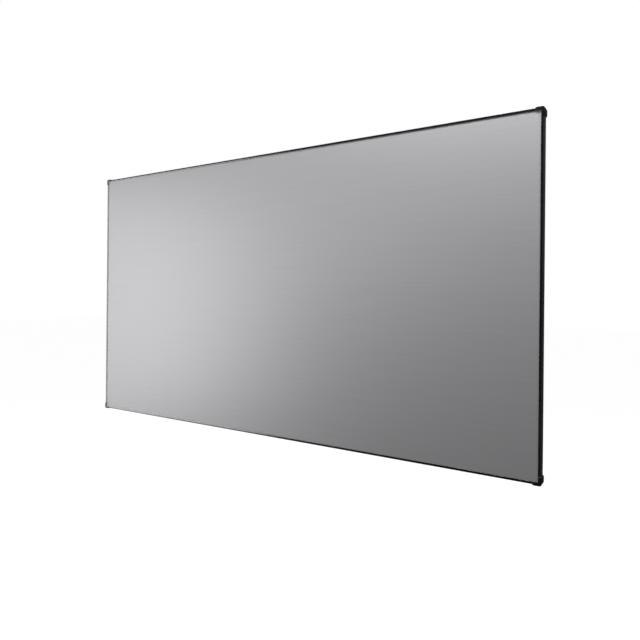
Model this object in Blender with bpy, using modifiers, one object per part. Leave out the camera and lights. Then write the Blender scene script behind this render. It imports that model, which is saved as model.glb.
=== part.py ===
"""Fixed-frame projection screen with a thin black edge, at its real size in metres.

A grey optical sheet is stretched over a mitred aluminium frame. Black edging is welded to the
sheet, wraps round the rails and is drawn inwards at the back by springs on glass-fibre rods.
Black bezel strips clip over the edge, and a moulded cap closes each corner. Four steel wall
brackets hook into the channel at the back of the rails.

X runs to the right as the viewer sees it, the picture faces -Y, and Z is up. The origin is
the middle of the whole object. The pieces of one side are modelled in that side's own frame:
u is measured inwards from the outer face of the bezel (local X), v backwards from the front
of the corner caps (local Y), and s along the side (local Z).
"""

import math

import bmesh
import bpy
from mathutils import Matrix

MM = 0.001

# Picture area, 100 inches across the corners at 16:9, and the clearance between pieces
IMAGE_WIDTH = 2214 * MM
IMAGE_HEIGHT = 1245 * MM
SEAT = 0.3 * MM

# Optical sheet and the edging welded to its back
SHEET_THICKNESS = 0.6 * MM
SHEET_MARGIN = 2 * MM
EDGING_THICKNESS = 0.6 * MM
EDGING_FLANGE = 20 * MM
EDGING_CORNER_CUT = 5 * MM
NOTCH_LENGTH = 5 * MM

# Frame rail, an aluminium extrusion with a channel at its back
RAIL_WIDTH = 52 * MM
RAIL_DEPTH = 32 * MM
RAIL_WALL = 1.6 * MM
RAIL_CORNER = 1 * MM
RIDGE_RADIUS = 4 * MM
FRONT_RAKE = 1.5 * MM
CHANNEL_SETBACK = 36 * MM
CHANNEL_WIDTH = 16 * MM
CHANNEL_DEPTH = 6.5 * MM
SLOT_WIDTH = 9 * MM

# Bezel strip
BEZEL_LIP = 8.5 * MM
BEZEL_WALL = 1.5 * MM
BEZEL_REAR_LIP = 6 * MM
BEZEL_CHAMFER = 0.4 * MM

# Corner cap
CAP_SKIN = 1.5 * MM
CAP_WALL = 3.2 * MM
CAP_LEG = 26 * MM
CAP_RADIUS = 8 * MM
CAP_TAPER = 4 * MM
CAP_TIP = 1.2 * MM
CAP_EDGE = 0.5 * MM

# Corner elbow and splice plate, steel, both lying in the rail's channel
JOINING_PLATE = 3 * MM
ELBOW_LEG = 70 * MM
ELBOW_CHAMFER = 3 * MM
ELBOW_SCREW_SETBACK = 25 * MM
ELBOW_SCREW_PITCH = 30 * MM
SPLICE_LENGTH = 160 * MM
SPLICE_SCREW_MARGIN = 25 * MM

# Button-head screws with a hexagonal socket
SCREW_RADIUS = 2.5 * MM
HEAD_RADIUS = 4 * MM
HEAD_HEIGHT = 2.4 * MM
HEAD_CROWN = 0.6
SOCKET_SIDES = 6
SOCKET_RADIUS = 2.1 * MM
SOCKET_DEPTH = 1.3 * MM

# Tension rods and springs
ROD_RADIUS = 2 * MM
ROD_SETBACK = 10 * MM
ROD_OVERHANG = 6 * MM
COIL_RADIUS = 2.9 * MM
COIL_CLEARANCE = 3.2 * MM
WIRE_RADIUS = 0.6 * MM
SPRING_CLEARANCE = 20 * MM
SPRINGS_PER_HALF = 6
SPRINGS_PER_SHORT_SIDE = 6

# Upright behind the middle of the sheet, and the steel clips at its ends
BAR_WIDTH = 30 * MM
BAR_DEPTH = 15 * MM
BAR_WALL = 1.2 * MM
BAR_CORNER = 1.5 * MM
CLIP_PLATE = 2 * MM
CLIP_INSIDE_BEND = 1 * MM
CLIP_TAB = 12 * MM
CLIP_REACH = 32 * MM
CLIP_FLANGE = 10 * MM
CLIP_RELIEF = 0.1 * MM

# Wall brackets
WALL_STANDOFF = 8.6 * MM
BRACKET_PLATE = 2 * MM
BRACKET_WIDTH = 50 * MM
BRACKET_LENGTH = 52 * MM
BRACKET_INSIDE_BEND = 0.5 * MM
BRACKET_HOLE_WIDTH = 6 * MM
BRACKET_HOLE_LENGTH = 14 * MM
BRACKET_HOLE_PITCH = 28 * MM
BRACKET_HOLE_MARGIN = 7 * MM

# Angles in degrees: where the pocket and the springs' hooks start and end on their way round
# the rod, the least turn that looks like an edge, and the least turn that is softened on a cap
POCKET_START = -90
POCKET_END = 210
ROD_HOOK_START = 200
ROD_HOOK_END = 60
SHARP_ANGLE = 35
CAP_EDGE_ANGLE = 60

# Facets: sides of a full circle, and chords of an arc
ROUND_SIDES = 12
SCREW_SIDES = 10
ROD_SIDES = 8
RIDGE_CHORDS = 4
HOLLOW_CHORDS = 3
CORNER_CHORDS = 2
CAP_CHORDS = 5
EDGING_RIDGE_CHORDS = 3
POCKET_CHORDS = 8
HOOK_CHORDS = 3
BEND_CHORDS = 3
SLOT_CHORDS = 6

# Points nearer to each other than this are one point
WELD = 0.01 * MM

# Overall size of the frame without its corner caps
WIDTH = IMAGE_WIDTH + 2 * BEZEL_LIP
HEIGHT = IMAGE_HEIGHT + 2 * BEZEL_LIP

# Depths, from the front of the corner caps backwards
V_BEZEL = CAP_SKIN + SEAT
V_SHEET = V_BEZEL + BEZEL_WALL + SEAT
V_FLANGE = V_SHEET + SHEET_THICKNESS + SEAT
V_RAIL = V_FLANGE + EDGING_THICKNESS + SEAT
V_RAIL_BACK = V_RAIL + RAIL_DEPTH
V_EDGING_BACK = V_RAIL_BACK + SEAT
V_BEZEL_BACK = V_EDGING_BACK + EDGING_THICKNESS + SEAT + BEZEL_WALL
V_CAP_BACK = V_BEZEL_BACK + SEAT + CAP_SKIN
V_CHANNEL_TOP = V_RAIL_BACK - RAIL_WALL
V_CHANNEL_FLOOR = V_CHANNEL_TOP - CHANNEL_DEPTH
V_PLATE_BACK = V_CHANNEL_TOP - SEAT
V_PLATE = V_PLATE_BACK - JOINING_PLATE
V_CLIP = V_RAIL_BACK + SEAT
V_WALL = V_RAIL_BACK + WALL_STANDOFF
Y_FRONT = -V_WALL / 2

# Places across a side, from the outer face of the bezel inwards
U_RAIL = BEZEL_WALL + SEAT + EDGING_THICKNESS + SEAT
U_RAIL_INNER = U_RAIL + RAIL_WIDTH
U_CHANNEL = U_RAIL + CHANNEL_SETBACK
U_CHANNEL_LOW = U_CHANNEL - CHANNEL_WIDTH / 2
U_CHANNEL_HIGH = U_CHANNEL + CHANNEL_WIDTH / 2
U_SLOT_LOW = U_CHANNEL - SLOT_WIDTH / 2
U_SLOT_HIGH = U_CHANNEL + SLOT_WIDTH / 2
U_ROD = U_RAIL + ROD_SETBACK
V_ROD = V_EDGING_BACK + EDGING_THICKNESS + SEAT + ROD_RADIUS
V_SPRING = V_RAIL_BACK + SEAT + COIL_RADIUS
HOLE_RADIUS = SCREW_RADIUS + SEAT
MITRE_GAP = SEAT / math.sqrt(2)

# Each side: its turn about Y, its length, and the way from the middle of the screen to it
SIDES = {
    "left": (0, HEIGHT, (-WIDTH / 2, 0)),
    "top": (90, WIDTH, (0, HEIGHT / 2)),
    "right": (180, HEIGHT, (WIDTH / 2, 0)),
    "bottom": (270, WIDTH, (0, -HEIGHT / 2)),
}

# Each corner: its turn about Y, and where the bezel's outer faces would meet
CORNERS = {
    "bottom_left": (0, (-WIDTH / 2, -HEIGHT / 2)),
    "top_left": (90, (-WIDTH / 2, HEIGHT / 2)),
    "top_right": (180, (WIDTH / 2, HEIGHT / 2)),
    "bottom_right": (270, (WIDTH / 2, -HEIGHT / 2)),
}


def clear_scene():
    """Remove what the file held before."""
    for thing in list(bpy.data.objects):
        bpy.data.objects.remove(thing, do_unlink=True)


def new_collection(name):
    """A collection in the scene."""
    collection = bpy.data.collections.new(name)
    bpy.context.scene.collection.children.link(collection)
    return collection


def finish(name, colour, roughness, metallic=0.0):
    """A plain material of one colour."""
    material = bpy.data.materials.new(name)
    material.use_nodes = True
    shader = material.node_tree.nodes["Principled BSDF"]
    shader.inputs["Base Color"].default_value = (*colour, 1)
    shader.inputs["Roughness"].default_value = roughness
    shader.inputs["Metallic"].default_value = metallic
    material.diffuse_color = (*colour, 1)
    return material


def frame_empty(name, degrees, place):
    """The local frame of a side or a corner: an empty turned about Y, at the front of the caps."""
    empty = bpy.data.objects.new(name, None)
    empty.rotation_euler = (0, math.radians(degrees), 0)
    empty.location = (place[0], Y_FRONT, place[1])
    PARTS.objects.link(empty)
    return empty


def add_part(name, mesh, material, parent, place=(0, 0, 0)):
    """One named piece, with its mesh in the frame of its parent."""
    part = bpy.data.objects.new(name, mesh)
    part.parent = parent
    part.location = place
    if not mesh.materials:
        mesh.materials.append(material)
    PARTS.objects.link(part)
    return part


def add_cutter(name, mesh, parent, place=(0, 0, 0)):
    """A helper that another object's modifier cuts away or joins on."""
    cutter = bpy.data.objects.new(name, mesh)
    cutter.parent = parent
    cutter.location = place
    cutter.hide_render = True
    cutter.display_type = "WIRE"
    CUTTERS.objects.link(cutter)
    return cutter


def boolean(part, other, operation="DIFFERENCE"):
    """Cut a helper out of a piece, or join it on. A cut has flat faces, so its edges stay crisp."""
    if operation == "DIFFERENCE":
        other.data.shade_flat()
    modifier = part.modifiers.new(other.name, "BOOLEAN")
    modifier.operation = operation
    modifier.solver = "EXACT"
    modifier.object = other


def baked(part, *helpers):
    """The mesh of an object as its modifiers make it, with the object and its helpers removed."""
    graph = bpy.context.evaluated_depsgraph_get()
    mesh = bpy.data.meshes.new_from_object(part.evaluated_get(graph))
    mesh.name = part.name
    for thing in (part, *helpers):
        bpy.data.objects.remove(thing, do_unlink=True)
    clean = bmesh.new()
    clean.from_mesh(mesh)
    bmesh.ops.remove_doubles(clean, verts=clean.verts, dist=WELD)
    bmesh.ops.recalc_face_normals(clean, faces=clean.faces)
    clean.to_mesh(mesh)
    clean.free()
    return mesh


def smooth(mesh):
    """Shade a mesh smooth between its edges."""
    mesh.shade_smooth()
    mesh.set_sharp_from_angle(angle=math.radians(SHARP_ANGLE))
    return mesh


def even_shading(part):
    """Let large faces lead the shading, so that a flat face beside a bend looks flat."""
    weighted = part.modifiers.new("even_shading", "WEIGHTED_NORMAL")
    weighted.keep_sharp = True


def arc(centre, radius, start, end, steps):
    """Points along an arc in a flat outline, with its angles in degrees."""
    points = []
    for step in range(steps + 1):
        angle = math.radians(start + (end - start) * step / steps)
        points.append((centre[0] + radius * math.cos(angle), centre[1] + radius * math.sin(angle)))
    return points


def circle(centre, radius, sides=ROUND_SIDES):
    """Points round a full circle."""
    return arc(centre, radius, 0, 360, sides)[:-1]


def rectangle(low, high, corner=0.0, steps=CORNER_CHORDS):
    """A rectangle between two corners, its own corners rounded where a radius is given."""
    (x0, y0), (x1, y1) = low, high
    if not corner:
        return [(x0, y0), (x1, y0), (x1, y1), (x0, y1)]
    return (
        arc((x0 + corner, y0 + corner), corner, 180, 270, steps)
        + arc((x1 - corner, y0 + corner), corner, 270, 360, steps)
        + arc((x1 - corner, y1 - corner), corner, 0, 90, steps)
        + arc((x0 + corner, y1 - corner), corner, 90, 180, steps)
    )


def rounded_path(points, radius, steps=BEND_CHORDS):
    """An open path with each right-angled bend turned into an arc."""
    path = [points[0]]
    for before, corner, after in zip(points, points[1:], points[2:]):
        back = math.dist(before, corner)
        ahead = math.dist(corner, after)
        enter = ((before[0] - corner[0]) / back, (before[1] - corner[1]) / back)
        leave = ((after[0] - corner[0]) / ahead, (after[1] - corner[1]) / ahead)
        centre = tuple(corner[i] + radius * (enter[i] + leave[i]) for i in (0, 1))
        for step in range(steps + 1):
            turn = math.radians(90 * step / steps)
            path.append(
                tuple(
                    centre[i] - radius * (leave[i] * math.cos(turn) + enter[i] * math.sin(turn))
                    for i in (0, 1)
                )
            )
    path.append(points[-1])
    return path


def ribbon(path, thickness):
    """The outline of a strip of even thickness that follows an open path."""
    left = []
    right = []
    for i, (x, y) in enumerate(path):
        before = path[max(i - 1, 0)]
        after = path[min(i + 1, len(path) - 1)]
        steps = [(x - before[0], y - before[1]), (after[0] - x, after[1] - y)]
        ways = [(dx / math.hypot(dx, dy), dy / math.hypot(dx, dy)) for dx, dy in steps if dx or dy]
        mean = (sum(way[0] for way in ways) / len(ways), sum(way[1] for way in ways) / len(ways))
        reach = thickness / 2 / (mean[0] ** 2 + mean[1] ** 2)
        left.append((x - mean[1] * reach, y + mean[0] * reach))
        right.append((x + mean[1] * reach, y - mean[0] * reach))
    return left + right[::-1]


def extruded(name, loops, start, end):
    """A flat outline and its holes, drawn out along Z from start to end."""
    curve = bpy.data.curves.new(name, "CURVE")
    curve.dimensions = "2D"
    curve.fill_mode = "BOTH"
    curve.extrude = (end - start) / 2
    for loop in loops:
        spline = curve.splines.new("POLY")
        spline.points.add(len(loop) - 1)
        for point, (x, y) in zip(spline.points, loop):
            point.co = (x, y, 0, 1)
        spline.use_cyclic_u = True
    outline = bpy.data.objects.new(name, curve)
    CUTTERS.objects.link(outline)
    mesh = baked(outline)
    mesh.transform(Matrix.Translation((0, 0, (start + end) / 2)))
    return smooth(mesh)


def flat_plate(name, loops, front, back):
    """A plate whose outline lies in the plane of the picture, between two depths."""
    mesh = extruded(name, loops, -back, -front)
    mesh.transform(Matrix.Rotation(math.radians(90), 4, "X"))
    return mesh


def box(name, low, high):
    """A block between two corners."""
    made = bmesh.new()
    bmesh.ops.create_cube(made, size=1)
    for vertex in made.verts:
        for i in range(3):
            vertex.co[i] = low[i] if vertex.co[i] < 0 else high[i]
    mesh = bpy.data.meshes.new(name)
    made.to_mesh(mesh)
    made.free()
    return mesh


def side_lengths(side, kind):
    """Name, start and end of the lengths that one side is made of. The long sides are in two."""
    half = SIDES[side][1] / 2
    if side in ("left", "right"):
        return [(f"{side}_{kind}", -half, half)]
    first, second = ("left", "right") if side == "top" else ("right", "left")
    return [
        (f"{side}_{kind}_{first}", -half, -SEAT / 2),
        (f"{side}_{kind}_{second}", SEAT / 2, half),
    ]


def mitred_length(name, loops, start, end, half):
    """A length of extrusion, cut to 45 degrees where it reaches a corner of the frame."""
    mesh = extruded(name, loops, start, end)
    middle = (start + end) / 2
    for vertex in mesh.vertices:
        at_end = vertex.co.z > middle
        reach = end if at_end else start
        if math.isclose(abs(reach), half):
            vertex.co.z -= math.copysign(vertex.co.x + MITRE_GAP, reach)
    return mesh


def rail_outline():
    """Outer outline of the rail: ridge under the sheet, raked front, and the channel at the back."""
    corner = RAIL_CORNER
    back = V_RAIL_BACK - corner
    return (
        arc((U_RAIL + RIDGE_RADIUS, V_RAIL + RIDGE_RADIUS), RIDGE_RADIUS, 180, 270, RIDGE_CHORDS)
        + arc((U_RAIL_INNER - corner, V_RAIL + FRONT_RAKE + corner), corner, 270, 360, CORNER_CHORDS)
        + arc((U_RAIL_INNER - corner, back), corner, 0, 90, CORNER_CHORDS)
        + [
            (U_SLOT_HIGH, V_RAIL_BACK),
            (U_SLOT_HIGH, V_CHANNEL_TOP),
            (U_CHANNEL_HIGH, V_CHANNEL_TOP),
            (U_CHANNEL_HIGH, V_CHANNEL_FLOOR),
            (U_CHANNEL_LOW, V_CHANNEL_FLOOR),
            (U_CHANNEL_LOW, V_CHANNEL_TOP),
            (U_SLOT_LOW, V_CHANNEL_TOP),
            (U_SLOT_LOW, V_RAIL_BACK),
        ]
        + arc((U_RAIL + corner, back), corner, 90, 180, CORNER_CHORDS)
    )


def rail_hollow():
    """The space inside the rail, which bends round the channel."""
    wall = RAIL_WALL
    ridge = (U_RAIL + RIDGE_RADIUS, V_RAIL + RIDGE_RADIUS)
    return arc(ridge, RIDGE_RADIUS - wall, 180, 270, HOLLOW_CHORDS) + [
        (U_RAIL_INNER - wall, V_RAIL + FRONT_RAKE + wall),
        (U_RAIL_INNER - wall, V_CHANNEL_TOP),
        (U_CHANNEL_HIGH + wall, V_CHANNEL_TOP),
        (U_CHANNEL_HIGH + wall, V_CHANNEL_FLOOR - wall),
        (U_CHANNEL_LOW - wall, V_CHANNEL_FLOOR - wall),
        (U_CHANNEL_LOW - wall, V_CHANNEL_TOP),
        (U_RAIL + wall, V_CHANNEL_TOP),
    ]


def add_rails(side, frame, material):
    """The rails of one side, two on a long side."""
    half = SIDES[side][1] / 2
    for name, start, end in side_lengths(side, "rail"):
        mesh = mitred_length(name, [rail_outline(), rail_hollow()], start, end, half)
        add_part(name, mesh, material, frame)


def bezel_outline():
    """C-shaped strip: front lip, outer face and the rear lip that clips behind the rail."""
    wall = BEZEL_WALL
    edge = BEZEL_CHAMFER
    return [
        (edge, V_BEZEL),
        (BEZEL_LIP - edge, V_BEZEL),
        (BEZEL_LIP, V_BEZEL + edge),
        (BEZEL_LIP, V_BEZEL + wall),
        (wall, V_BEZEL + wall),
        (wall, V_BEZEL_BACK - wall),
        (BEZEL_REAR_LIP, V_BEZEL_BACK - wall),
        (BEZEL_REAR_LIP, V_BEZEL_BACK - edge),
        (BEZEL_REAR_LIP - edge, V_BEZEL_BACK),
        (edge, V_BEZEL_BACK),
        (0, V_BEZEL_BACK - edge),
        (0, V_BEZEL + edge),
    ]


def add_bezels(side, frame, material):
    """The bezel strips of one side, two on a long side."""
    half = SIDES[side][1] / 2
    for name, start, end in side_lengths(side, "bezel"):
        mesh = mitred_length(name, [bezel_outline()], start, end, half)
        add_part(name, mesh, material, frame)


def edging_outline():
    """The edging from its weld on the sheet, round the rail, to the pocket for the rod."""
    skin = SEAT + EDGING_THICKNESS / 2
    ridge = (U_RAIL + RIDGE_RADIUS, V_RAIL + RIDGE_RADIUS)
    heel = (U_RAIL + RAIL_CORNER, V_RAIL_BACK - RAIL_CORNER)
    path = [(ridge[0] + EDGING_FLANGE, V_FLANGE + EDGING_THICKNESS / 2)]
    path += arc(ridge, RIDGE_RADIUS + skin, 270, 180, EDGING_RIDGE_CHORDS)
    path += arc(heel, RAIL_CORNER + skin, 180, 90, CORNER_CHORDS)
    path += arc((U_ROD, V_ROD), ROD_RADIUS + skin, POCKET_START, POCKET_END, POCKET_CHORDS)
    return ribbon(path, EDGING_THICKNESS)


def edging_half_length(side):
    """The edging stops short of each corner, so that neighbouring flanges don't meet."""
    reach = U_RAIL + RIDGE_RADIUS + EDGING_FLANGE
    return SIDES[side][1] / 2 - reach - EDGING_CORNER_CUT


def spring_places(side):
    """Where the springs sit along a side, clear of the elbows and of the splice plate."""
    elbow_end = U_CHANNEL_LOW + SEAT + ELBOW_LEG
    outer = SIDES[side][1] / 2 - elbow_end - SPRING_CLEARANCE
    if side in ("left", "right"):
        count = SPRINGS_PER_SHORT_SIDE
        return [outer * (2 * i / (count - 1) - 1) for i in range(count)]
    inner = SPLICE_LENGTH / 2 + SPRING_CLEARANCE
    pitch = (outer - inner) / (SPRINGS_PER_HALF - 1)
    half = [inner + pitch * i for i in range(SPRINGS_PER_HALF)]
    return [-s for s in reversed(half)] + half


def joined(name, meshes):
    """Several meshes put into one, which stay separate shells."""
    made = bmesh.new()
    for mesh in meshes:
        made.from_mesh(mesh)
        bpy.data.meshes.remove(mesh)
    mesh = bpy.data.meshes.new(name)
    made.to_mesh(mesh)
    made.free()
    return mesh


def add_edging(side, frame, material):
    """The edging of one side, with a notch in its pocket at each spring."""
    half = edging_half_length(side)
    mesh = extruded(f"{side}_edging", [edging_outline()], -half, half)
    edging = add_part(f"{side}_edging", mesh, material, frame)
    pocket = ROD_RADIUS + SEAT + EDGING_THICKNESS
    front = V_EDGING_BACK + EDGING_THICKNESS + SEAT
    notches = []
    for s in spring_places(side):
        low = (U_ROD - pocket - SEAT, front, s - NOTCH_LENGTH / 2)
        high = (U_ROD + pocket + SEAT, V_ROD + pocket + SEAT, s + NOTCH_LENGTH / 2)
        notches.append(box("notch", low, high))
    boolean(edging, add_cutter(f"{side}_edging_notches", joined("notches", notches), frame))


def spring_mesh():
    """One tension spring as a tapering tube: rod hook, coil drawn as a barrel, channel hook."""
    wire = WIRE_RADIUS
    coil_start = U_ROD + ROD_RADIUS + COIL_CLEARANCE
    hook_u = U_SLOT_LOW + SEAT + wire
    hook_v = V_CHANNEL_TOP - SEAT - wire
    coil_end = hook_u - COIL_CLEARANCE
    over_rod = arc((U_ROD, V_ROD), ROD_RADIUS, ROD_HOOK_START, ROD_HOOK_END, HOOK_CHORDS)
    points = [(u, v, wire) for u, v in over_rod] + [
        (coil_start, V_SPRING, wire),
        (coil_start + wire, V_SPRING, COIL_RADIUS),
        (coil_end - wire, V_SPRING, COIL_RADIUS),
        (coil_end, V_SPRING, wire),
        (hook_u, V_RAIL_BACK + SEAT + wire, wire),
        (hook_u, hook_v, wire),
        (U_SLOT_LOW - 2 * wire, hook_v, wire),
    ]
    curve = bpy.data.curves.new("spring", "CURVE")
    curve.dimensions = "3D"
    curve.bevel_depth = wire
    curve.bevel_resolution = 1
    curve.use_fill_caps = True
    spline = curve.splines.new("POLY")
    spline.points.add(len(points) - 1)
    for point, (u, v, radius) in zip(spline.points, points):
        point.co = (u, v, 0, 1)
        point.radius = radius / wire
    spring = bpy.data.objects.new("spring", curve)
    CUTTERS.objects.link(spring)
    return baked(spring)


def add_tension_row(side, frame, material, spring):
    """The glass-fibre rod of one side with the springs hooked over it, as one solid."""
    half = edging_half_length(side) + ROD_OVERHANG
    mesh = extruded(f"{side}_rod", [circle((U_ROD, V_ROD), ROD_RADIUS, ROD_SIDES)], -half, half)
    row = add_part(f"{side}_rod_and_springs", mesh, material, frame)
    copies = []
    for s in spring_places(side):
        copy = spring.copy()
        copy.transform(Matrix.Translation((0, 0, s)))
        copies.append(copy)
    springs = add_cutter(f"{side}_springs", joined("springs", copies), frame)
    boolean(row, springs, "UNION")


def screw_mesh(name, length):
    """A button-head socket screw along Y, its head to the back and its seat at the origin."""
    profile = [
        (0, HEAD_HEIGHT),
        (HEAD_CROWN * HEAD_RADIUS, HEAD_HEIGHT),
        (HEAD_RADIUS, HEAD_HEIGHT * (1 - HEAD_CROWN)),
        (HEAD_RADIUS, 0),
        (SCREW_RADIUS, 0),
        (SCREW_RADIUS, -length),
        (0, -length),
    ]
    mesh = bpy.data.meshes.new(name)
    mesh.from_pydata([(x, 0, z) for x, z in profile], [(i, i + 1) for i in range(len(profile) - 1)], [])
    turned = add_cutter(name, mesh, None)
    turn = turned.modifiers.new("turn", "SCREW")
    turn.steps = SCREW_SIDES
    turn.render_steps = SCREW_SIDES
    turn.use_merge_vertices = True
    turn.merge_threshold = WELD
    made = bmesh.new()
    bmesh.ops.create_cone(
        made,
        cap_ends=True,
        segments=SOCKET_SIDES,
        radius1=SOCKET_RADIUS,
        radius2=SOCKET_RADIUS,
        depth=2 * SOCKET_DEPTH,
        matrix=Matrix.Translation((0, 0, HEAD_HEIGHT)),
    )
    socket_mesh = bpy.data.meshes.new("socket")
    made.to_mesh(socket_mesh)
    made.free()
    socket = add_cutter("socket", socket_mesh, None)
    boolean(turned, socket)
    screw = baked(turned, socket)
    screw.transform(Matrix.Rotation(math.radians(-90), 4, "X"))
    return smooth(screw)


def add_splice(side, frame, plate_finish, screw, screw_finish):
    """The plate that joins the two lengths of a long side, with its own two screws."""
    low = (U_CHANNEL_LOW + SEAT, -SPLICE_LENGTH / 2)
    high = (U_CHANNEL_HIGH - SEAT, SPLICE_LENGTH / 2)
    reach = SPLICE_LENGTH / 2 - SPLICE_SCREW_MARGIN
    loops = [rectangle(low, high)] + [circle((U_CHANNEL, s), HOLE_RADIUS) for s in (-reach, 0, reach)]
    mesh = flat_plate(f"{side}_splice", loops, V_PLATE, V_PLATE_BACK)
    add_part(f"{side}_splice_plate", mesh, plate_finish, frame)
    names = ("left", "right") if side == "top" else ("right", "left")
    for name, s in zip(names, (-reach, reach)):
        place = (U_CHANNEL, V_PLATE_BACK + SEAT, s)
        add_part(f"{side}_splice_screw_{name}", screw, screw_finish, frame, place)


def elbow_outline():
    """L-shaped plate that lies in the channels of the two rails that meet at a corner."""
    low = U_CHANNEL_LOW + SEAT
    high = U_CHANNEL_HIGH - SEAT
    end = low + ELBOW_LEG
    return [
        (low + ELBOW_CHAMFER, low),
        (end, low),
        (end, high),
        (high, high),
        (high, end),
        (low, end),
        (low, low + ELBOW_CHAMFER),
    ]


def add_elbow(corner, frame, plate_finish, screw, screw_finish):
    """The elbow of one corner and the four screws that clamp it in the channels."""
    reaches = [U_CHANNEL + ELBOW_SCREW_SETBACK + i * ELBOW_SCREW_PITCH for i in (0, 1)]
    places = [(reach, U_CHANNEL) for reach in reaches] + [(U_CHANNEL, reach) for reach in reaches]
    loops = [elbow_outline()] + [circle(place, HOLE_RADIUS) for place in places]
    mesh = flat_plate(f"{corner}_elbow", loops, V_PLATE, V_PLATE_BACK)
    add_part(f"{corner}_elbow", mesh, plate_finish, frame)
    for number, (a, b) in enumerate(places, start=1):
        place = (a, V_PLATE_BACK + SEAT, b)
        add_part(f"{corner}_elbow_screw_{number}", screw, screw_finish, frame, place)


def cap_outline():
    """The corner cap seen from the front, before its opening is cut: a rounded square."""
    proud = CAP_WALL + SEAT
    centre = CAP_RADIUS - proud
    return arc((centre, centre), CAP_RADIUS, 180, 270, CAP_CHORDS) + [
        (CAP_LEG - CAP_TAPER, -proud),
        (CAP_LEG, -CAP_TIP - SEAT),
        (CAP_LEG, CAP_LEG),
        (-CAP_TIP - SEAT, CAP_LEG),
        (-proud, CAP_LEG - CAP_TAPER),
    ]


def add_cap(corner, frame, material):
    """Moulded cap over the ends of two bezel strips, open towards the picture."""
    mesh = flat_plate(f"{corner}_cap", [cap_outline()], 0, V_CAP_BACK)
    cap = add_part(f"{corner}_cap", mesh, material, frame)
    past = CAP_LEG + CAP_WALL
    inside = box("cap_inside", (-SEAT, CAP_SKIN, -SEAT), (past, V_CAP_BACK - CAP_SKIN, past))
    window = box("cap_window", (BEZEL_LIP, -CAP_WALL, BEZEL_LIP), (past, V_CAP_BACK + CAP_WALL, past))
    boolean(cap, add_cutter(f"{corner}_cap_inside", inside, frame))
    boolean(cap, add_cutter(f"{corner}_cap_window", window, frame))
    edge = cap.modifiers.new("soft_edges", "BEVEL")
    edge.width = CAP_EDGE
    edge.segments = 1
    edge.limit_method = "ANGLE"
    edge.angle_limit = math.radians(CAP_EDGE_ANGLE)


def add_sheet(centre, material):
    """The optical sheet, flat on the ridges of the rails. Its edge lies under the bezel's lip."""
    half_width = WIDTH / 2 - U_RAIL - SHEET_MARGIN
    half_height = HEIGHT / 2 - U_RAIL - SHEET_MARGIN
    low = (-half_width, V_SHEET, -half_height)
    high = (half_width, V_SHEET + SHEET_THICKNESS, half_height)
    add_part("screen_sheet", box("screen_sheet", low, high), material, centre)


def add_bar(centre, material):
    """Rectangular tube that keeps the long rails apart behind the middle of the sheet."""
    half = HEIGHT / 2 - U_RAIL_INNER - SEAT
    low = (-BAR_WIDTH / 2, V_RAIL_BACK - BAR_DEPTH)
    high = (BAR_WIDTH / 2, V_RAIL_BACK)
    inner_low = (low[0] + BAR_WALL, low[1] + BAR_WALL)
    inner_high = (high[0] - BAR_WALL, high[1] - BAR_WALL)
    loops = [rectangle(low, high, BAR_CORNER), rectangle(inner_low, inner_high)]
    mesh = extruded("centre_support_bar", loops, -half, half)
    add_part("centre_support_bar", mesh, material, centre)


def add_bar_clip(side, frame, material, screw, screw_finish):
    """Bent clip at one end of the support bar, screwed through the slot into the splice plate."""
    arm = BAR_WIDTH / 2 + SEAT + CLIP_PLATE / 2
    web = V_CLIP + CLIP_PLATE / 2
    front = V_RAIL_BACK - CLIP_FLANGE
    bend = CLIP_INSIDE_BEND + CLIP_PLATE / 2
    path = rounded_path([(-arm, front), (-arm, web), (arm, web), (arm, front)], bend)
    start = U_CHANNEL - CLIP_TAB
    end = U_RAIL_INNER + SEAT + CLIP_REACH
    mesh = extruded(f"{side}_bar_clip", [ribbon(path, CLIP_PLATE)], start, end)
    mesh.transform(Matrix.Rotation(math.radians(90), 4, "Y"))
    clip = add_part(f"{side}_bar_clip", mesh, material, frame)
    clear = (start - CLIP_PLATE, front - CLIP_PLATE, -arm - CLIP_PLATE)
    room = box("rail_room", clear, (U_RAIL_INNER + SEAT, V_CLIP + CLIP_RELIEF, arm + CLIP_PLATE))
    boolean(clip, add_cutter(f"{side}_clip_rail_room", room, frame))
    hole = [circle((U_CHANNEL, 0), HOLE_RADIUS)]
    bore = flat_plate("clip_bore", hole, V_CLIP - CLIP_PLATE, V_CLIP + 2 * CLIP_PLATE)
    boolean(clip, add_cutter(f"{side}_clip_bore", bore, frame))
    seat = (U_CHANNEL, V_CLIP + CLIP_PLATE + SEAT, 0)
    add_part(f"{side}_bar_clip_screw", screw, screw_finish, frame, seat)


def bracket_path(side):
    """Wall plate, shelf through the slot and upturned hook behind the slot's upper lip."""
    wall = V_WALL - BRACKET_PLATE / 2
    hook_v = V_CHANNEL_TOP - SEAT - BRACKET_PLATE / 2
    if side == "top":
        shelf = U_SLOT_LOW + SEAT + BRACKET_PLATE / 2
        hook_tip = U_CHANNEL_LOW + SEAT
    else:
        shelf = U_SLOT_HIGH - SEAT - BRACKET_PLATE / 2
        hook_tip = U_CHANNEL_HIGH - SEAT
    plate_end = shelf + BRACKET_LENGTH
    corners = [(hook_tip, hook_v), (shelf, hook_v), (shelf, wall), (plate_end, wall)]
    return rounded_path(corners, BRACKET_INSIDE_BEND + BRACKET_PLATE / 2)


def slot_outline(centre_u, centre_s):
    """A round-ended screw slot, longer across the rail than along it."""
    radius = BRACKET_HOLE_WIDTH / 2
    reach = BRACKET_HOLE_LENGTH / 2 - radius
    return arc((centre_u + reach, centre_s), radius, -90, 90, SLOT_CHORDS) + arc(
        (centre_u - reach, centre_s), radius, 90, 270, SLOT_CHORDS
    )


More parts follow.
